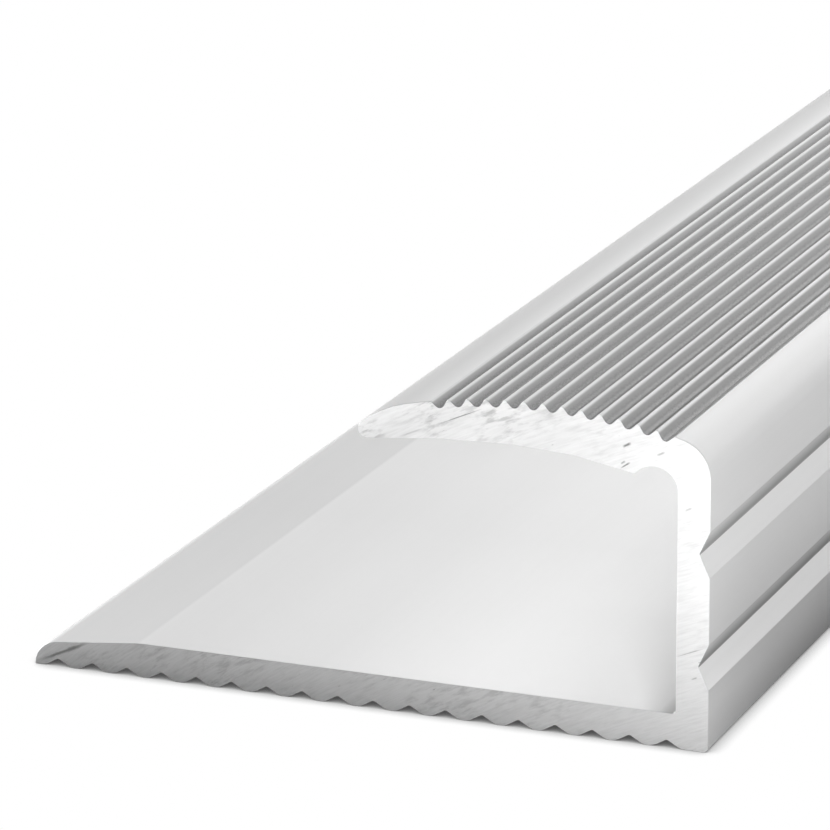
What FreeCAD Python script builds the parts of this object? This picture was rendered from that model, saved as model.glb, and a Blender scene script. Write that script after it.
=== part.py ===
import FreeCAD, Part
import math
import os

# End profile for a floor covering: one bar of extruded aluminium.
# A base flange lies on the floor and passes under the covering, a wall closes the covering's edge,
# and a crowned top flange reaches back over it. The section lies in the XZ plane, +X towards the
# outer face of the wall and +Z up, and the bar runs along Y. The origin is on the floor, in the
# middle of the bar's footprint. All sizes are millimetres.

# Bar
length = 900.0

# Base flange
base_width = 28.15            # from the tip to the outer face of the wall
base_thickness = 1.4          # from the wave crests to the level top
tip_radius = 1.0              # top of the tip, over a sharp bottom edge
taper_width = 4.75            # from the tip to the crease where the top becomes level

# Waves under the base, which hold the glue
wave_pitch = 1.5
wave_depth = 0.3
wave_crest_radius = 0.7
wave_notch_radius = 0.15
wave_toe = 0.2                # least level strip between the tip and the first wave
wave_foot = 0.9               # level strip under the wall
foot_radius = 0.2             # bottom edge of the wall

# Wall
wall_thickness = 1.3
inner_fillet = 0.15           # inside, where the wall meets the base

# V grooves along the outer face of the wall
vee_width = 1.8               # mouth of a groove, measured up the wall
vee_depth = 0.4
vee_root_radius = 0.1
vee_first_height = 3.4        # middle of the lowest groove above the floor
vee_spacing = 4.45

# Slot that takes the edge of the covering
slot_height = 9.9             # from the base to the top of the arch under the flange

# Top flange
flange_width = 14.2           # from the outer face of the wall to the nose
flange_thickness = 1.75       # from the top of the arch to the top of the crown
crown_radius = 22.3
corner_radius = 1.5           # between the crown and the wall
shoulder_radius = 4.5         # between the crown and the nose
nose_radius = 0.35
arch_setback = 7.9            # from the outer face of the wall to the top of the arch
arch_nose_radius = 47.0       # flatter half of the arch, towards the nose
arch_wall_radius = 20.0       # rounder half of the arch, towards the wall
recess_radius = 0.95          # round relief in the inside corner under the flange
recess_cover = 1.45           # metal between the relief and the crown
lip_radius = 0.15             # rounded edge between the arch and the relief

# Grip grooves along the crown
groove_pitch = 0.765          # measured along the crown
groove_depth = 0.29
groove_radius = 0.2
ridge_radius = 0.08
wall_land = 0.3               # smooth strip between the corner and the grooves
nose_land = 0.5               # least smooth strip between the grooves and the shoulder

# Shorter runs than this are where two arcs touch, so they are left out of the outline
SMALLEST_RUN = 0.00001


def point(x, z):
    """A point of the section."""
    return FreeCAD.Vector(x, 0.0, z)


def turn(place, radius=0.0):
    """A circle that the outline turns round: counter-clockwise when radius is positive, clockwise
    when it is negative, and a sharp corner when it is zero."""
    return {"centre": place, "radius": radius}


def meet(a, reach_a, b, reach_b):
    """The point reach_a from a and reach_b from b, on the left of the way from a to b."""
    way = b - a
    span = way.Length
    along = (span ** 2 + reach_a ** 2 - reach_b ** 2) / (2.0 * span)
    aside = math.sqrt(reach_a ** 2 - along ** 2)
    left = point(-way.z, way.x)
    return a + way * (along / span) + left * (aside / span)


def fitting_radii(half_pitch, depth, *radii):
    """Valley and crest radii of a wave, made smaller together where its pitch has no room for both."""
    room = (half_pitch ** 2 + depth ** 2) / (2.0 * depth)
    share = min(1.0, room / sum(radii))
    return [share * radius for radius in radii]


# Places that several stretches of the outline share
inner_face = base_width - wall_thickness
crown_top = base_thickness + slot_height + flange_thickness
arch_top = base_thickness + slot_height
crown_centre = point(base_width - flange_width / 2.0, crown_top - crown_radius)


def crown_place(angle, radius):
    """The point at this radius from the crown's centre, at an angle from upright towards the wall."""
    return crown_centre + point(radius * math.sin(angle), radius * math.cos(angle))


def height_on_crown(x, radius):
    """Height above the floor of the circle of this radius about the crown's centre."""
    return crown_centre.z + math.sqrt(radius ** 2 - (x - crown_centre.x) ** 2)


def crown_angle(place):
    """Angle from upright at which the crown's centre sees a place, towards the wall."""
    way = place - crown_centre
    return math.atan2(way.x, way.z)


def base_underside():
    """Tip, waves and the level foot under the wall, from left to right."""
    half_pitch = wave_pitch / 2.0
    notch, crest = fitting_radii(half_pitch, wave_depth, wave_notch_radius, wave_crest_radius)
    last_notch = base_width - wave_foot - half_pitch
    notch_count = int((last_notch - half_pitch - wave_toe) / wave_pitch) + 1
    first_notch = last_notch - (notch_count - 1) * wave_pitch
    turns = [turn(point(0.0, 0.0)), turn(point(first_notch - half_pitch, crest), crest)]
    for number in range(notch_count):
        x = first_notch + number * wave_pitch
        turns.append(turn(point(x, wave_depth - notch), -notch))
        turns.append(turn(point(x + half_pitch, crest), crest))
    turns.append(turn(point(base_width - foot_radius, foot_radius), foot_radius))
    return turns


def wall_outside(corner_centre):
    """V grooves up the outer face, as many as fit below the rounded corner, then the corner."""
    turns = []
    height = vee_first_height
    while height + vee_width / 2.0 < corner_centre.z:
        turns.append(turn(point(base_width, height - vee_width / 2.0)))
        turns.append(turn(point(base_width - vee_depth + vee_root_radius, height), -vee_root_radius))
        turns.append(turn(point(base_width, height + vee_width / 2.0)))
        height += vee_spacing
    turns.append(turn(corner_centre, corner_radius))
    return turns


def crown(corner_centre, shoulder_centre):
    """Ribbed crown from the corner to the shoulder: grooves with a narrow ridge on either side."""
    corner_angle = crown_angle(corner_centre)
    shoulder_angle = crown_angle(shoulder_centre)
    pitch_angle = groove_pitch / crown_radius
    lands = (wall_land + nose_land) / crown_radius
    groove_count = int((corner_angle - shoulder_angle - lands) / pitch_angle)
    groove, ridge = fitting_radii(groove_pitch / 2.0, groove_depth, groove_radius, ridge_radius)
    edge_angle = corner_angle - wall_land / crown_radius
    turns = [turn(crown_centre, crown_radius)]
    turns.append(turn(crown_place(edge_angle, crown_radius - ridge), ridge))
    for number in range(groove_count):
        groove_angle = edge_angle - (number + 0.5) * pitch_angle
        ridge_angle = edge_angle - (number + 1.0) * pitch_angle
        turns.append(turn(crown_place(groove_angle, crown_radius - groove_depth + groove), -groove))
        turns.append(turn(crown_place(ridge_angle, crown_radius - ridge), ridge))
    turns.append(turn(crown_centre, crown_radius))
    turns.append(turn(shoulder_centre, shoulder_radius))
    return turns


def flange_underside(nose_centre, arch_x):
    """Nose, arch, lip and the round relief that runs down into the wall's inner face."""
    recess_x = inner_face - recess_radius
    recess_top = height_on_crown(recess_x, crown_radius) - recess_cover
    recess_centre = point(recess_x, recess_top - recess_radius)
    wall_half_centre = point(arch_x, arch_top - arch_wall_radius)
    lip_centre = meet(
        wall_half_centre, arch_wall_radius + lip_radius, recess_centre, recess_radius + lip_radius
    )
    return [
        turn(nose_centre, nose_radius),
        turn(point(arch_x, arch_top - arch_nose_radius), -arch_nose_radius),
        turn(wall_half_centre, -arch_wall_radius),
        turn(lip_centre, lip_radius),
        turn(recess_centre, -recess_radius),
    ]


def base_top():
    """Inner fillet, level top, crease and the tapered tip, from right to left."""
    return [
        turn(point(inner_face - inner_fillet, base_thickness + inner_fillet), -inner_fillet),
        turn(point(taper_width, base_thickness)),
        turn(point(tip_radius, 0.0), tip_radius),
    ]


def straight_run(start, end):
    """Ends of the line that leaves one turn and enters the next, touching both circles."""
    way = end["centre"] - start["centre"]
    reach = (end["radius"] - start["radius"]) / way.Length
    normal_angle = math.atan2(way.z, way.x) + math.acos(max(-1.0, min(1.0, reach)))
    normal = point(math.cos(normal_angle), math.sin(normal_angle))
    leave = start["centre"] - normal * start["radius"]
    enter = end["centre"] - normal * end["radius"]
    if (enter - leave).Length < SMALLEST_RUN:
        return leave, leave
    return leave, enter


def arc_edge(this, enter, leave):
    """The arc round one turn, from where the outline enters it to where it leaves."""
    start = enter - this["centre"]
    end = leave - this["centre"]
    start_angle = math.atan2(start.z, start.x)
    side = math.copysign(1.0, this["radius"])
    sweep = side * ((side * (math.atan2(end.z, end.x) - start_angle)) % (2.0 * math.pi))
    middle_angle = start_angle + sweep / 2.0
    reach = abs(this["radius"])
    middle = this["centre"] + point(reach * math.cos(middle_angle), reach * math.sin(middle_angle))
    return Part.Arc(enter, middle, leave).toShape()


def outline(turns):
    """Closed wire that goes round all turns in order, joined by straight runs."""
    runs = [straight_run(turns[number - 1], turns[number]) for number in range(len(turns))]
    edges = []
    for number, this in enumerate(turns):
        enter = runs[number][1]
        leave, next_enter = runs[(number + 1) % len(runs)]
        if (leave - enter).Length > SMALLEST_RUN:
            edges.append(arc_edge(this, enter, leave))
        if next_enter is not leave:
            edges.append(Part.LineSegment(leave, next_enter).toShape())
    return Part.Wire(edges)


def trim_profile():
    """The whole bar: its section carried along Y."""
    arch_x = base_width - arch_setback
    nose_x = base_width - flange_width + nose_radius
    nose_reach = arch_nose_radius + nose_radius
    nose_z = arch_top - arch_nose_radius + math.sqrt(nose_reach ** 2 - (nose_x - arch_x) ** 2)
    nose_centre = point(nose_x, nose_z)
    shoulder_centre = meet(
        nose_centre, shoulder_radius - nose_radius, crown_centre, crown_radius - shoulder_radius
    )
    corner_x = base_width - corner_radius
    corner_centre = point(corner_x, height_on_crown(corner_x, crown_radius - corner_radius))
    turns = base_underside()
    turns += wall_outside(corner_centre)
    turns += crown(corner_centre, shoulder_centre)
    turns += flange_underside(nose_centre, arch_x)
    turns += base_top()
    section = Part.Face(outline(turns))
    bar = section.extrude(FreeCAD.Vector(0.0, length, 0.0))
    bar.translate(FreeCAD.Vector(-base_width / 2.0, -length / 2.0, 0.0))
    return bar


os.makedirs("parts", exist_ok=True)
bar = trim_profile()
bar.exportStep("parts/trim_profile.step")
print("trim_profile", bar.isValid(), round(bar.Volume, 1), "mm3", len(bar.Faces), "faces", bar.BoundBox)
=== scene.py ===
import math

import bpy
import numpy as np
from mathutils import Matrix


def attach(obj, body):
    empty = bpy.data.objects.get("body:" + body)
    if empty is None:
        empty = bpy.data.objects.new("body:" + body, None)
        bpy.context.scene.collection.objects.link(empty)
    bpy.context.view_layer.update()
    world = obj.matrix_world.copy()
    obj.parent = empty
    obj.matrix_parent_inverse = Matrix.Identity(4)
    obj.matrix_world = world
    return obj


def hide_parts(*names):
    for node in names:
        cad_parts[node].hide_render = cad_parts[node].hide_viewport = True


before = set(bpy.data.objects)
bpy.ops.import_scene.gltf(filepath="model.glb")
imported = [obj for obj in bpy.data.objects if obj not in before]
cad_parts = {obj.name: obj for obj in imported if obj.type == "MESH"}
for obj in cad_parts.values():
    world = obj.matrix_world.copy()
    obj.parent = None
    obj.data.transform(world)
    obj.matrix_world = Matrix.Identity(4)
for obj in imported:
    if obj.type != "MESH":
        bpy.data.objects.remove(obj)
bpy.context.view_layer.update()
mm = 0.001

# The bar: one extrusion of aluminium, 900 mm long, satin silver anodised and sawn off at both ends.
# A waved base lies on the floor under the covering, a wall with two V grooves closes its edge,
# and a crowned flange with grip grooves reaches back over it.
bar_length = 900.0 * mm
saw_burr = 0.012 * mm

base_width = 28.15 * mm
base_thickness = 1.4 * mm
tip_radius = 1.0 * mm
tip_edge_radius = 0.03 * mm
taper_width = 4.75 * mm
crease_radius = 3.0 * mm

wave_pitch = 1.5 * mm
wave_depth = 0.3 * mm
wave_notch_radius = 0.15 * mm
wave_crest_radius = 0.7 * mm
wave_toe = 0.2 * mm
wave_foot = 0.9 * mm
foot_radius = 0.2 * mm

wall_thickness = 1.3 * mm
inner_fillet = 0.15 * mm
vee_width = 1.8 * mm
vee_depth = 0.4 * mm
vee_root_radius = 0.1 * mm
vee_edge_radius = 0.08 * mm
vee_heights = np.array([3.4, 7.85]) * mm

slot_height = 9.9 * mm
flange_width = 14.2 * mm
flange_thickness = 1.75 * mm
crown_radius = 22.3 * mm
corner_radius = 1.5 * mm
shoulder_radius = 4.5 * mm
nose_radius = 0.35 * mm
arch_setback = 7.9 * mm
arch_nose_radius = 47.0 * mm
arch_wall_radius = 20.0 * mm
recess_radius = 0.95 * mm
recess_cover = 1.45 * mm
lip_radius = 0.15 * mm

grip_count = 13
grip_pitch = 0.765 * mm
grip_depth = 0.29 * mm
grip_floor_radius = 0.2 * mm
ridge_radius = 0.08 * mm
grip_land = 0.3 * mm

half_length = bar_length / 2.0
inner_face = base_width - wall_thickness
arch_top = base_thickness + slot_height
crown_x = base_width - flange_width / 2.0
crown_z = arch_top + flange_thickness - crown_radius


def wave_radii(half_pitch, depth, valley, crest):
    """Valley and crest radii that a wave has room for: their sum is (half pitch squared plus depth
    squared) over twice the depth at most, and where it is more, both shrink by the same share."""
    room = (half_pitch ** 2 + depth ** 2) / (2.0 * depth)
    share = min(1.0, room / (valley + crest))
    return share * valley, share * crest


def height_on_crown(x, radius):
    """Height of the circle of this radius about the crown's centre: the centre's height plus the
    square root of radius squared less the sideways distance squared."""
    return crown_z + np.sqrt(radius ** 2 - (x - crown_x) ** 2)


def meet(a, reach_a, b, reach_b):
    """The point reach_a from a and reach_b from b, on the left of the way from a to b: the sum of
    a, the way's share along and the way turned left by the share aside."""
    way = b - a
    span = np.hypot(*way)
    along = (span ** 2 + reach_a ** 2 - reach_b ** 2) / (2.0 * span)
    aside = math.sqrt(reach_a ** 2 - along ** 2)
    return a + way * (along / span) + np.array([-way[1], way[0]]) * (aside / span)


def base_turns():
    """Turning circles (x, z, radius) of the tip's edge, the waves underneath and the wall's foot.
    Notch n lies n pitches from the first, with a crest half a pitch to the right of each."""
    half = wave_pitch / 2.0
    notch, crest = wave_radii(half, wave_depth, wave_notch_radius, wave_crest_radius)
    last = base_width - wave_foot - half
    count = int((last - half - wave_toe) / wave_pitch) + 1
    x = last - np.arange(count)[::-1] * wave_pitch
    notches = np.stack([x, np.full(count, wave_depth - notch), np.full(count, -notch)], axis=1)
    crests = np.stack([x + half, np.full(count, crest), np.full(count, crest)], axis=1)
    waves = np.stack([notches, crests], axis=1).reshape(-1, 3)
    return np.vstack([
        [[tip_edge_radius, tip_edge_radius, tip_edge_radius], [x[0] - half, crest, crest]],
        waves,
        [[base_width - foot_radius, foot_radius, foot_radius]],
    ])


def wall_turns():
    """Turning circles of the V grooves up the outer face. Each has a rounded lower edge, a rounded
    root and a rounded upper edge."""
    count = len(vee_heights)
    slope = math.atan2(vee_depth, vee_width / 2.0)
    half_mouth = vee_width / 2.0 + vee_edge_radius * math.tan(slope / 2.0)
    edge_x = np.full(count, base_width - vee_edge_radius)
    edge_bend = np.full(count, vee_edge_radius)
    root_x = np.full(count, base_width - vee_depth + vee_root_radius)
    low = np.stack([edge_x, vee_heights - half_mouth, edge_bend], axis=1)
    root = np.stack([root_x, vee_heights, np.full(count, -vee_root_radius)], axis=1)
    high = np.stack([edge_x, vee_heights + half_mouth, edge_bend], axis=1)
    return np.stack([low, root, high], axis=1).reshape(-1, 3)


def crown_turns(corner, shoulder):
    """Turning circles of the crown from the corner to the shoulder. Groove n sits n and a half
    pitches from the corner's land, measured as an angle at the crown's centre, with a ridge after it."""
    groove, ridge = wave_radii(grip_pitch / 2.0, grip_depth, grip_floor_radius, ridge_radius)
    pitch = grip_pitch / crown_radius
    edge = math.atan2(corner[0] - crown_x, corner[1] - crown_z) - grip_land / crown_radius
    number = np.arange(grip_count)
    around = edge - np.stack([number + 0.5, number + 1.0], axis=1).ravel() * pitch
    around = np.concatenate([[edge], around])
    reach = np.tile([crown_radius - grip_depth + groove, crown_radius - ridge], grip_count)
    reach = np.concatenate([[crown_radius - ridge], reach])
    bend = np.concatenate([[ridge], np.tile([-groove, ridge], grip_count)])
    grips = np.stack([crown_x + reach * np.sin(around), crown_z + reach * np.cos(around), bend], axis=1)
    crown = [[crown_x, crown_z, crown_radius]]
    return np.vstack([crown, grips, crown, [[*shoulder, shoulder_radius]]])


def bar_turns():
    """All turning circles of the section, counter-clockwise from the tip. A radius is positive where
    the outline turns left round its circle and negative where it turns right."""
    corner_x = base_width - corner_radius
    corner = np.array([corner_x, height_on_crown(corner_x, crown_radius - corner_radius)])
    arch_x = base_width - arch_setback
    nose_x = base_width - flange_width + nose_radius
    nose_drop = math.sqrt((arch_nose_radius + nose_radius) ** 2 - (nose_x - arch_x) ** 2)
    nose = np.array([nose_x, arch_top - arch_nose_radius + nose_drop])
    centre = np.array([crown_x, crown_z])
    shoulder = meet(nose, shoulder_radius - nose_radius, centre, crown_radius - shoulder_radius)
    recess_x = inner_face - recess_radius
    recess_z = height_on_crown(recess_x, crown_radius) - recess_cover - recess_radius
    recess = np.array([recess_x, recess_z])
    arch = np.array([arch_x, arch_top - arch_wall_radius])
    lip = meet(arch, arch_wall_radius + lip_radius, recess, recess_radius + lip_radius)
    return np.vstack([
        base_turns(),
        wall_turns(),
        [[*corner, corner_radius]],
        crown_turns(corner, shoulder),
        [
            [*nose, nose_radius],
            [arch_x, arch_top - arch_nose_radius, -arch_nose_radius],
            [*arch, -arch_wall_radius],
            [*lip, lip_radius],
            [*recess, -recess_radius],
            [inner_face - inner_fillet, base_thickness + inner_fillet, -inner_fillet],
            [taper_width, base_thickness - crease_radius, crease_radius],
            [tip_radius, 0.0, tip_radius],
        ],
    ])


turn_step = math.radians(7.0)
tight_bend = 0.4 * mm
same_place = 1e-8


def outline(turns):
    """Points, outward normals and bends of the closed outline round all turns in order.
    Between two circles it runs along the line that touches both: the line's left normal leans from
    the way between the centres by the arc cosine of (next radius less this radius) over their
    distance. Round a circle the outward normal swings from one line's to the next's in even steps,
    and the point is the centre plus radius times that normal. A bend is 1 in the middle of an
    outward turn that is tight, 0 at its ends, and less the wider the turn is."""
    centre, radius = turns[:, :2], turns[:, 2]
    way = np.roll(centre, -1, axis=0) - centre
    lean = np.arccos(np.clip((np.roll(radius, -1) - radius) / np.hypot(*way.T), -1.0, 1.0))
    leave = np.arctan2(way[:, 1], way[:, 0]) + lean + math.pi
    enter = np.roll(leave, 1)
    side = np.sign(radius)
    swing = side * np.mod(side * (leave - enter), 2.0 * math.pi)
    steps = np.maximum(1, np.ceil(np.abs(swing) / turn_step)).astype(int)
    turn = np.repeat(np.arange(len(turns)), steps + 1)
    start = np.repeat(np.cumsum(steps + 1) - steps - 1, steps + 1)
    share = (np.arange(len(turn)) - start) / steps[turn]
    angle = enter[turn] + swing[turn] * share
    normal = np.stack([np.cos(angle), np.sin(angle)], axis=1)
    points = centre[turn] + radius[turn, None] * normal
    tight = np.clip(tight_bend / np.abs(radius[turn]), 0.0, 1.0)
    bend = np.where(radius[turn] > 0.0, np.sin(math.pi * share), 0.0) * tight
    apart = np.hypot(*(points - np.roll(points, 1, axis=0)).T) > same_place
    return points[apart], normal[apart], bend[apart]


# Marks of painted shade on the places that the photo shows darker, from 0 for plain satin to 1 for
# a grip's floor. Their values were set by the photo's greys.
vee_mark = 0.36
land_mark = 0.10
nose_mark = 0.33
taper_mark = 0.125
last_grip = math.radians(14.0)
first_grip = math.radians(-10.7)
nose_turn = math.radians(-18.5)
flank_lean = 0.4
flank_relief = 0.6
relief_start = -0.035
relief_span = 0.2
root_margin = 0.03 * mm
deepest_grip = 1.01
crown_from = base_thickness + 0.9 * slot_height
base_below = 2.0 * base_thickness


def painted_shade_places(points, normals):
    """The painted shade mark of each outline point. In the grips it is the depth: 0 on the crown's
    circle and 1 at the bottom, from the distance to the crown's centre, and weaker on the flanks that
    face the nose, the more so towards the wall. On the upper flank of a V groove it rises from 0 at
    the outer face to vee_mark at the root, from the first grip to the nose it rises from land_mark to
    nose_mark, and on the tapered top of the base's tip it is taper_mark."""
    x, z = points.T
    away = points - [crown_x, crown_z]
    around = np.arctan2(*away.T)
    depth = (crown_radius - np.hypot(*away.T)) / grip_depth
    on_grips = (depth < deepest_grip) & (around < last_grip) & (around > first_grip)
    to_wall = np.stack([np.cos(around), -np.sin(around)], axis=1)
    nose_side = np.clip(-(normals * to_wall).sum(axis=1) / flank_lean, 0.0, 1.0)
    by_wall = np.clip((around - relief_start) / relief_span, 0.0, 1.0)
    grip = depth * (1.0 - flank_relief * nose_side * by_wall)
    vee = np.clip((base_width - x) / vee_depth, 0.0, 1.0) * vee_mark
    above_root = z[:, None] > vee_heights - root_margin
    on_vee = (above_root & (z[:, None] < vee_heights + vee_width / 2.0)).any(axis=1)
    to_nose = np.clip((first_grip - around) / (first_grip - nose_turn), 0.0, 1.0)
    nose = land_mark + to_nose * (nose_mark - land_mark)
    faces_up = normals[:, 1] > 0.0
    on_land = faces_up & (z > crown_from) & (around <= first_grip)
    on_taper = faces_up & (z < base_below) & (x < taper_width)
    places = [on_grips, on_vee, on_land, on_taper]
    return np.clip(np.select(places, [grip, vee, nose, taper_mark], 0.0), 0.0, 1.0)


def carry(name, points, normals, marks, stations, insets):
    """A bar: the outline carried along Y. The vertex at station i and outline point j is the point,
    drawn in by the station's inset along its normal, at that Y. A flat face closes either end.
    Each mark is an attribute with one value per outline point."""
    rings, around = len(stations), len(points)
    flat = points[None] - normals[None] * insets[:, None, None]
    place = np.empty((rings, around, 3))
    place[..., 0] = flat[..., 0] - base_width / 2.0
    place[..., 1] = stations[:, None]
    place[..., 2] = flat[..., 1]
    ring, spot = np.meshgrid(np.arange(rings - 1), np.arange(around), indexing="ij")
    after = (spot + 1) % around
    corner_ring = np.stack([ring, ring + 1, ring + 1, ring], axis=-1)
    corner_spot = np.stack([spot, spot, after, after], axis=-1)
    sides = (corner_ring * around + corner_spot).reshape(-1, 4)
    front, back = np.arange(around), (rings - 1) * around + np.arange(around)[::-1]
    faces = sides.tolist() + [front.tolist(), back.tolist()]
    mesh = bpy.data.meshes.new(name)
    mesh.from_pydata(place.reshape(-1, 3).tolist(), [], faces)
    rise = (insets[1:] - insets[:-1]) / (stations[1:] - stations[:-1])
    lean = np.stack([
        normals[corner_spot, 0],
        np.broadcast_to(rise[:, None, None], corner_spot.shape),
        normals[corner_spot, 1],
    ], axis=-1).reshape(-1, 3)
    lean /= np.linalg.norm(lean, axis=1, keepdims=True)
    ends = np.repeat([[0.0, -1.0, 0.0], [0.0, 1.0, 0.0]], around, axis=0)
    mesh.shade_smooth()
    mesh.normals_split_custom_set(np.vstack([lean, ends]).tolist())
    sawn = np.arange(len(faces)) >= len(sides)
    mesh.polygons.foreach_set("material_index", sawn.astype(np.int32))
    for label, values in marks.items():
        mark = mesh.attributes.new(label, "FLOAT", "POINT")
        mark.data.foreach_set("value", np.tile(values, rings).astype(np.float32))
    made = bpy.data.objects.new(name, mesh)
    bpy.context.scene.collection.objects.link(made)
    return made


points, normals, bends = outline(bar_turns())
marks = {"outward_bend": bends, "painted_shade_place": painted_shade_places(points, normals)}
stations = np.array([-half_length, -half_length + saw_burr, half_length - saw_burr, half_length])
insets = np.array([saw_burr, 0.0, 0.0, saw_burr])
bar = carry("profile_bar", points, normals, marks, stations, insets)

# Satin anodised finish of the extruded faces: lines that the die draws along the bar, the etch's
# matt grain and faint clouds in the oxide. The darker grooves, V flanks, nose land, taper and inner corner
# are painted shade and the brighter base by the ends is painted light, tones set by the photo's greys.
plain_tones = 0.77, 0.79
satin_roughness = 0.38, 0.40

# The grips, in painted shade: tones at the nose side and at the wall side, and the marks between which they
# come in
grips_from, grips_to = 3.2 * mm, 12.2 * mm
ridge_tones = 0.65, 0.77
floor_low_tones = 0.07, 0.25
floor_high_tones = 0.17, 0.37
flank_tone = 0.35
flank_marks = 0.06, 0.3
floor_marks = 0.3, 0.9

# Painted light on the base by the ends: how far in from the end, from where to where across, and below what
# height
painted_light_tone = 0.98
painted_light_reach = 18.0 * mm
painted_light_across = -2.0 * mm, 8.0 * mm
painted_light_heights = 3.0 * mm, 1.6 * mm

# Painted shade in the inner corner: distances from the end, from the wall's inner face and from the corner
# itself
corner_shade_tone = 0.57
corner_starts, corner_full = 18.0 * mm, 5.0 * mm
corner_narrows = 10.0 * mm
corner_reaches = 6.2 * mm, 1.7 * mm
corner_into_wall = 0.6 * mm, 0.2 * mm
fillet_shade_tone = 0.43
fillet_reaches = 0.7 * mm, 0.2 * mm


def add(tree, kind, settings=None, **inputs):
    """One node with its settings. Each input named by its label, with _ for a space, or by i and its
    number takes a value, or a link where it is given another node's output."""
    made = tree.nodes.new(kind)
    for key, value in (settings or {}).items():
        setattr(made, key, value)
    for key, value in inputs.items():
        numbered = key[0] == "i" and key[1:].isdigit()
        socket = made.inputs[int(key[1:])] if numbered else made.inputs[key.replace("_", " ")]
        if isinstance(value, bpy.types.NodeSocket):
            tree.links.new(value, socket)
        else:
            socket.default_value = value
    return made


def reckon(tree, operation, *values):
    """The result of one sum on numbers."""
    inputs = {f"i{number}": value for number, value in enumerate(values)}
    return add(tree, "ShaderNodeMath", {"operation": operation}, **inputs).outputs[0]


def reckon_place(tree, operation, *values):
    """The result of one sum on places: a number for a length or a dot product, or else a place."""
    inputs = {f"i{number}": value for number, value in enumerate(values)}
    made = add(tree, "ShaderNodeVectorMath", {"operation": operation}, **inputs)
    return made.outputs["Value" if operation in ("LENGTH", "DOT_PRODUCT") else "Vector"]


def grey(level):
    """A neutral colour of this level. Another node's colour stays as it is."""
    return level if isinstance(level, bpy.types.NodeSocket) else (level, level, level, 1.0)


def blend(tree, share, none, all_of_it):
    """The tone none where the share is 0, all_of_it where it is 1, and a mix between."""
    return add(tree, "ShaderNodeMix", {"data_type": "RGBA"},
               i0=share, i6=grey(none), i7=grey(all_of_it)).outputs[2]


def ramp(tree, value, low, high, at_low=0.0, at_high=1.0, kind="LINEAR"):
    """Runs from at_low to at_high while the value goes from low to high, and stays level beyond."""
    return add(tree, "ShaderNodeMapRange", {"interpolation_type": kind},
               i0=value, i1=low, i2=high, i3=at_low, i4=at_high).outputs[0]


def noise(tree, where, scale, detail, **inputs):
    """Clouded noise of this scale, read at a place."""
    return add(tree, "ShaderNodeTexNoise", Vector=where, Scale=scale, Detail=detail, **inputs).outputs["Fac"]


def new_group(name, inputs, outputs):
    """An empty shader node group with float inputs (name, value), a Vector input first, and float
    outputs. Gives the tree, its inputs by name and the node that collects its outputs."""
    tree = bpy.data.node_groups.new(name, "ShaderNodeTree")
    tree.interface.new_socket("Vector", in_out="INPUT", socket_type="NodeSocketVector")
    for label, value in inputs:
        socket = tree.interface.new_socket(label, in_out="INPUT", socket_type="NodeSocketFloat")
        socket.default_value = value
    for label in outputs:
        tree.interface.new_socket(label, in_out="OUTPUT", socket_type="NodeSocketFloat")
    given = tree.nodes.new("NodeGroupInput").outputs
    taken = tree.nodes.new("NodeGroupOutput")
    return tree, given, taken


long_lines, given, taken = new_group("long_lines", [("Across", 7000.0), ("Along", 12.0)], ["Lines", "Bands"])
stretch = add(long_lines, "ShaderNodeCombineXYZ", X=given["Across"], Y=given["Along"], Z=given["Across"])
drawn = reckon_place(long_lines, "MULTIPLY", given["Vector"], stretch.outputs[0])
long_lines.links.new(noise(long_lines, drawn, 1.0, 3.0, Roughness=0.6), taken.inputs["Lines"])
long_lines.links.new(noise(long_lines, drawn, 0.13, 1.0), taken.inputs["Bands"])


def drawn_lines(tree, where, across, along):
    """The long_lines group at a place: its lines and its wider bands."""
    made = add(tree, "ShaderNodeGroup", {"node_tree": long_lines}, Vector=where, Across=across, Along=along)
    return made.outputs["Lines"], made.outputs["Bands"]


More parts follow.
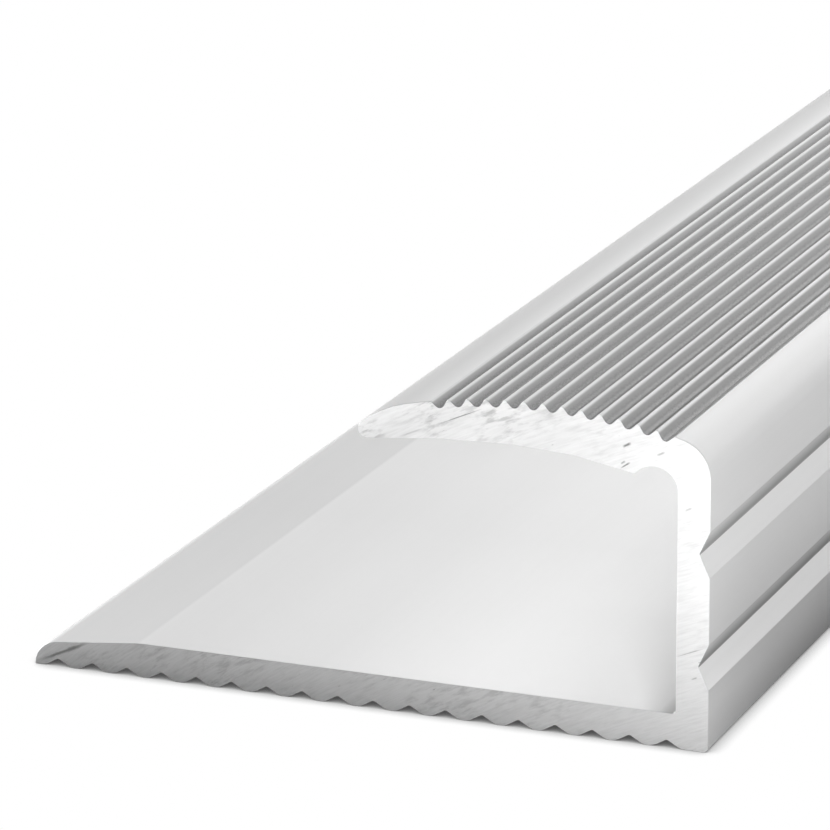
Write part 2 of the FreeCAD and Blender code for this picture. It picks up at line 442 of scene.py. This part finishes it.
def satin_anodised():
    """Metal whose roughness and height follow the die's lines and the grain, and whose tone follows
    those, the painted shade of the marks and of the inner corner, and painted light by the ends."""
    material = bpy.data.materials.new("satin_anodised")
    material.use_nodes = True
    tree = material.node_tree
    shader = tree.nodes["Principled BSDF"]
    where = add(tree, "ShaderNodeTexCoord").outputs["Object"]
    axes = add(tree, "ShaderNodeSeparateXYZ", Vector=where).outputs
    lines, bands = drawn_lines(tree, where, 7000.0, 12.0)
    cloud = noise(tree, where, 90.0, 2.0)
    grain = noise(tree, where, 16000.0, 2.0, Roughness=0.7)
    bend = add(tree, "ShaderNodeAttribute", {"attribute_name": "outward_bend"}).outputs["Fac"]
    dark = add(tree, "ShaderNodeAttribute", {"attribute_name": "painted_shade_place"}).outputs["Fac"]

    mottle = add(tree, "ShaderNodeMix", {"data_type": "FLOAT"}, i0=0.6, i2=lines, i3=cloud).outputs[0]
    tone = blend(tree, ramp(tree, mottle, 0.3, 0.7), *plain_tones)
    # Painted shade on the ridges and other tight outward bends, darker towards the nose side
    to_wall = ramp(tree, axes["X"], grips_from, grips_to)
    tone = blend(tree, bend, tone, blend(tree, to_wall, *ridge_tones))
    floor_low = blend(tree, to_wall, *floor_low_tones)
    floor_high = blend(tree, to_wall, *floor_high_tones)
    grip_floor = blend(tree, ramp(tree, grain, 0.43, 0.57), floor_low, floor_high)
    # Painted shade by the marks: the flank tone, then the grip floor tone, in grooves, V flanks, nose land
    # and taper
    tone = blend(tree, ramp(tree, dark, *flank_marks), tone, flank_tone)
    tone = blend(tree, ramp(tree, dark, *floor_marks), tone, grip_floor)

    from_middle = reckon(tree, "ABSOLUTE", axes["Y"])
    # Painted light: the base lighter near the sawn ends, most towards the wall
    near_end = ramp(tree, from_middle, half_length - painted_light_reach, half_length)
    near_wall = ramp(tree, axes["X"], *painted_light_across, 0.15, 1.0)
    on_base = ramp(tree, axes["Z"], *painted_light_heights)
    painted_light = reckon(tree, "MULTIPLY", reckon(tree, "MULTIPLY", near_end, near_wall), on_base)
    tone = blend(tree, painted_light, tone, painted_light_tone)

    # Painted shade in the inner corner and on its fillet, in a band that widens away from the ends
    wall_x = inner_face - base_width / 2.0
    from_corner = reckon_place(tree, "SUBTRACT", where, (wall_x, 0.0, base_thickness))
    from_corner = reckon_place(tree, "MULTIPLY", from_corner, (1.0, 0.0, 1.0))
    from_corner = reckon_place(tree, "LENGTH", from_corner)
    reach = ramp(tree, from_middle, half_length - corner_narrows, half_length, *corner_reaches)
    corner_shade = ramp(tree, reckon(tree, "DIVIDE", from_corner, reach), 1.0, 0.0, kind="SMOOTHSTEP")
    inner_side = ramp(tree, axes["X"], wall_x + corner_into_wall[0], wall_x + corner_into_wall[1])
    by_end = ramp(tree, from_middle, half_length - corner_starts, half_length - corner_full)
    corner_shade = reckon(tree, "MULTIPLY", reckon(tree, "MULTIPLY", corner_shade, inner_side), by_end)
    tone = blend(tree, corner_shade, tone, corner_shade_tone)
    tone = blend(tree, ramp(tree, from_corner, *fillet_reaches), tone, fillet_shade_tone)

    height = reckon(tree, "ADD", lines, grain)
    bump = add(tree, "ShaderNodeBump", Height=height, Strength=0.08, Distance=0.02 * mm)
    shader.inputs["Metallic"].default_value = 0.5
    tree.links.new(tone, shader.inputs["Base Color"])
    tree.links.new(ramp(tree, bands, 0.3, 0.7, *satin_roughness), shader.inputs["Roughness"])
    tree.links.new(bump.outputs[0], shader.inputs["Normal"])
    return material


# Bare sawn ends: the blade leaves fine streaks in arcs about its own middle, which lay below the
# bar and to its right, with torn patches, short dark nicks where a tooth dragged a chip, and a few
# long scratches. Their tones too were set by the photo's greys.
blade_x, blade_z = 46.2 * mm, -79.7 * mm
blade_reach = 100.0 * mm
sawn_tones = 0.90, 0.98
torn_tone = 0.56
cleaner_across = 3.0 * mm, 12.0 * mm
smoother_heights = 1.5 * mm, 4.0 * mm
nick_tone = 0.28
sawn_roughness = 0.5, 0.62

scratch, given, taken = new_group(
    "scratch",
    [("X", 0.0), ("Z", 0.0), ("Turn", 0.0), ("Length", 1.0 * mm), ("Width", 0.1 * mm), ("Depth", 1.0)],
    ["Mark"],
)
middle = add(scratch, "ShaderNodeCombineXYZ", X=given["X"], Z=given["Z"]).outputs[0]
level = add(scratch, "ShaderNodeVectorRotate", {"rotation_type": "Y_AXIS"},
            Vector=reckon_place(scratch, "SUBTRACT", given["Vector"], middle), Angle=given["Turn"])
axes = add(scratch, "ShaderNodeSeparateXYZ", Vector=level.outputs[0]).outputs
ragged = reckon(scratch, "MULTIPLY", given["Width"], noise(scratch, given["Vector"], 3000.0, 2.0))
beside = reckon(scratch, "DIVIDE", reckon(scratch, "ABSOLUTE", axes["Z"]), ragged)
along = reckon(scratch, "DIVIDE", reckon(scratch, "ABSOLUTE", axes["X"]), given["Length"])
line = reckon(scratch, "MULTIPLY", ramp(scratch, beside, 1.0, 0.2), ramp(scratch, along, 0.5, 0.2))
scratch.links.new(reckon(scratch, "MULTIPLY", line, given["Depth"]), taken.inputs["Mark"])

# Each scratch or nick: x and z of its middle, turn in degrees, length, width, depth from 0 to 1
scratches = [
    (2.1, 11.35, 24.0, 1.2, 0.10, 0.35),
    (4.1, 12.2, 24.0, 1.9, 0.05, 0.9),
    (-12.8, 0.65, 25.0, 2.6, 0.17, 0.8),
    (10.75, 11.8, 31.0, 0.4, 0.13, 1.0),
    (10.6, 11.1, 35.0, 0.25, 0.10, 0.7),
    (10.7, 11.0, 35.0, 0.5, 0.08, 1.0),
    (12.1, 11.6, 27.0, 0.4, 0.10, 0.5),
    (13.2, 9.55, 28.0, 0.35, 0.09, 0.4),
    (13.3, 3.9, 23.0, 1.2, 0.06, 0.5),
    (13.5, 2.9, 25.0, 0.3, 0.08, 0.5),
]


def sawn_aluminium():
    """Bright rough metal. Streaks run along arcs about the blade's middle: their noise is read at
    the distance from it and at the angle round it."""
    material = bpy.data.materials.new("sawn_aluminium")
    material.use_nodes = True
    tree = material.node_tree
    shader = tree.nodes["Principled BSDF"]
    where = add(tree, "ShaderNodeTexCoord").outputs["Object"]
    axes = add(tree, "ShaderNodeSeparateXYZ", Vector=where).outputs
    flat = add(tree, "ShaderNodeCombineXYZ", X=axes["X"], Z=axes["Z"]).outputs[0]
    arm = reckon_place(tree, "SUBTRACT", flat, (blade_x, 0.0, blade_z))
    ends = add(tree, "ShaderNodeSeparateXYZ", Vector=arm).outputs
    angle = reckon(tree, "ARCTAN2", ends["X"], ends["Z"])
    cutting = add(tree, "ShaderNodeCombineXYZ", X=reckon_place(tree, "LENGTH", arm),
                  Y=reckon(tree, "MULTIPLY", angle, blade_reach)).outputs[0]
    streaks, bands = drawn_lines(tree, cutting, 12000.0, 900.0)
    smears, _ = drawn_lines(tree, cutting, 5200.0, 1300.0)
    chips, _ = drawn_lines(tree, cutting, 7000.0, 1500.0)
    patches = noise(tree, flat, 420.0, 2.0)

    tone = blend(tree, ramp(tree, streaks, 0.35, 0.65), *sawn_tones)
    torn = reckon(tree, "MULTIPLY", ramp(tree, smears, 0.48, 0.66), ramp(tree, patches, 0.42, 0.6, 0.1, 1.0))
    cleaner = ramp(tree, axes["X"], *cleaner_across, 1.0, 0.2)
    smoother = ramp(tree, axes["Z"], *smoother_heights, 0.5, 1.0)
    torn = reckon(tree, "MULTIPLY", reckon(tree, "MULTIPLY", torn, cleaner), smoother)
    tone = blend(tree, torn, tone, torn_tone)

    nicks = ramp(tree, chips, 0.7, 0.76, 0.0, 0.5)
    for x, z, turn, length, width, depth in scratches:
        mark = add(tree, "ShaderNodeGroup", {"node_tree": scratch}, Vector=where, X=x * mm, Z=z * mm,
                   Turn=math.radians(turn), Length=length * mm, Width=width * mm, Depth=depth)
        nicks = reckon(tree, "MAXIMUM", nicks, mark.outputs["Mark"])
    tone = blend(tree, nicks, tone, nick_tone)

    height = reckon(tree, "SUBTRACT", streaks, nicks)
    bump = add(tree, "ShaderNodeBump", Height=height, Strength=0.3, Distance=0.03 * mm)
    shader.inputs["Metallic"].default_value = 0.8
    tree.links.new(tone, shader.inputs["Base Color"])
    tree.links.new(ramp(tree, bands, 0.3, 0.7, *sawn_roughness), shader.inputs["Roughness"])
    tree.links.new(bump.outputs[0], shader.inputs["Normal"])
    return material


bar.data.materials.append(satin_anodised())
bar.data.materials.append(sawn_aluminium())
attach(bar, "root")
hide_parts("trim_profile")

# The studio: a pale floor, a sky that glows most from the left and less from behind, and two small
# lamps in front of the sawn end, all with strengths fitted to the photo's greys. The camera sees the
# floor plain white with a dark line where the bar touches it, and without the bar's cast shadow.
floor_reach = 30.0
floor_level = -0.01 * mm
floor_grey = 0.75
touch_reach = 0.9 * mm
touch_white = 0.05
end_shade = 3.0 * mm
beside_reach, beside_glow = 9.0 * mm, 0.96
before_from, before_to, before_glow = 5.0 * mm, 15.0 * mm, 0.88

corners = np.array([[-1, -1], [1, -1], [1, 1], [-1, 1]]) * floor_reach
floor_mesh = bpy.data.meshes.new("floor")
floor_mesh.from_pydata([(x, y, floor_level) for x, y in corners.tolist()], [], [(0, 1, 2, 3)])
floor = bpy.data.objects.new("floor", floor_mesh)
bpy.context.scene.collection.objects.link(floor)

paper = bpy.data.materials.new("floor_paper")
paper.use_nodes = True
tree = paper.node_tree
tree.nodes.remove(tree.nodes["Principled BSDF"])
ray = add(tree, "ShaderNodeLightPath").outputs
seen = reckon(tree, "MAXIMUM", ray["Is Camera Ray"], ray["Is Transmission Ray"])
free = add(tree, "ShaderNodeAmbientOcclusion", {"samples": 8}, Distance=touch_reach).outputs["AO"]
white = add(tree, "ShaderNodeEmission", Strength=ramp(tree, free, 0.0, 0.85, touch_white, 1.0))

# What the metal mirrors: the floor glows, with a painted shadow that dims it close to the bar
spot = reckon_place(tree, "ABSOLUTE", add(tree, "ShaderNodeTexCoord").outputs["Object"])
past = reckon_place(tree, "SUBTRACT", spot, (base_width / 2.0, half_length + end_shade, 0.0))
gap = reckon_place(tree, "LENGTH", reckon_place(tree, "MAXIMUM", past, (0.0, 0.0, 0.0)))
beside_bar = ramp(tree, gap, 0.0, beside_reach, 0.0, beside_glow)
before_end = ramp(tree, gap, before_from, before_to, 0.0, before_glow)
spot_axes = add(tree, "ShaderNodeSeparateXYZ", Vector=spot).outputs
past_end = reckon(tree, "GREATER_THAN", spot_axes["Y"], half_length)
clear = add(tree, "ShaderNodeMix", {"data_type": "FLOAT"}, i0=past_end, i2=beside_bar, i3=before_end)
mirrored = reckon(tree, "MULTIPLY", ray["Is Glossy Ray"], clear.outputs[0])
matt = add(tree, "ShaderNodeBsdfDiffuse", Color=grey(floor_grey))
lit = add(tree, "ShaderNodeEmission", Strength=mirrored)
both = add(tree, "ShaderNodeAddShader", i0=matt.outputs[0], i1=lit.outputs[0])
surface = add(tree, "ShaderNodeMixShader", i0=seen, i1=both.outputs[0], i2=white.outputs[0])
tree.links.new(surface.outputs[0], tree.nodes["Material Output"].inputs["Surface"])
floor_mesh.materials.append(paper)

world = bpy.data.worlds.new("studio_sky")
bpy.context.scene.world = world
world.use_nodes = True


def soft_glow(tree, before, azimuth, elevation, strength, tightness):
    """Adds a soft round glow to the sky: strength times e to the power of tightness times (cosine
    of the angle from its middle, less 1). Azimuth turns from +X towards +Y."""
    way = add(tree, "ShaderNodeTexCoord").outputs["Generated"]
    east, lift = math.radians(azimuth), math.radians(elevation)
    middle = (math.cos(east) * math.cos(lift), math.sin(east) * math.cos(lift), math.sin(lift))
    near = reckon_place(tree, "DOT_PRODUCT", way, middle)
    power = reckon(tree, "MULTIPLY_ADD", near, tightness, -tightness)
    return reckon(tree, "MULTIPLY_ADD", reckon(tree, "EXPONENT", power), strength, before)


sky = 0.0
for azimuth, elevation, strength, tightness in [
    (90.0, 5.0, 2.1, 8.0),
    (60.0, 5.0, 0.8, 8.0),
    (95.0, 22.0, 1.05, 24.0),
    (150.0, 20.0, 5.2, 24.0),
    (180.0, 12.0, 12.6, 24.0),
]:
    sky = soft_glow(world.node_tree, sky, azimuth, elevation, strength, tightness)
background = world.node_tree.nodes["Background"]
background.inputs["Color"].default_value = grey(1.0)
world.node_tree.links.new(sky, background.inputs["Strength"])


def lamp(name, x, y, z, power):
    """A small round lamp, itself out of the camera's sight. Its place is in millimetres."""
    bulb = bpy.data.lights.new(name, "POINT")
    bulb.energy = power
    bulb.shadow_soft_size = 8.0 * mm
    hung = bpy.data.objects.new(name, bulb)
    hung.location = (x * mm, y * mm, z * mm)
    hung.visible_camera = False
    bpy.context.scene.collection.objects.link(hung)


lamp("wall_lamp", 20.0, -463.0, 7.0, 0.0055)
lamp("flange_lamp", 0.0, -467.0, 12.0, 0.0010)

# The camera: a long lens from the right, above and in front of the sawn end. Its place and its
# turns were solved from the photo's notches, grooves and edges.
camera_place = [0.0727707, -0.6244652, 0.0688756]
yaw, pitch, roll = 0.3842281, 0.2932758, -0.0053112

forward = np.array([-math.sin(yaw) * math.cos(pitch), math.cos(yaw) * math.cos(pitch), -math.sin(pitch)])
across = np.array([math.cos(yaw), math.sin(yaw), 0.0])
lifted = np.cross(across, forward)
right = math.cos(roll) * across + math.sin(roll) * lifted
up = -math.sin(roll) * across + math.cos(roll) * lifted
lens = bpy.data.cameras.new("camera")
lens.sensor_width = 36.0
lens.lens = 225.05
lens.clip_start, lens.clip_end = 0.01, 100.0
camera = bpy.data.objects.new("camera", lens)
bpy.context.scene.collection.objects.link(camera)
pose = Matrix.Identity(4)
for column, axis in enumerate([right, up, -forward, camera_place]):
    for row, value in enumerate(axis):
        pose[row][column] = value
camera.matrix_world = pose
bpy.context.scene.camera = camera

bpy.context.scene.view_settings.view_transform = "Standard"
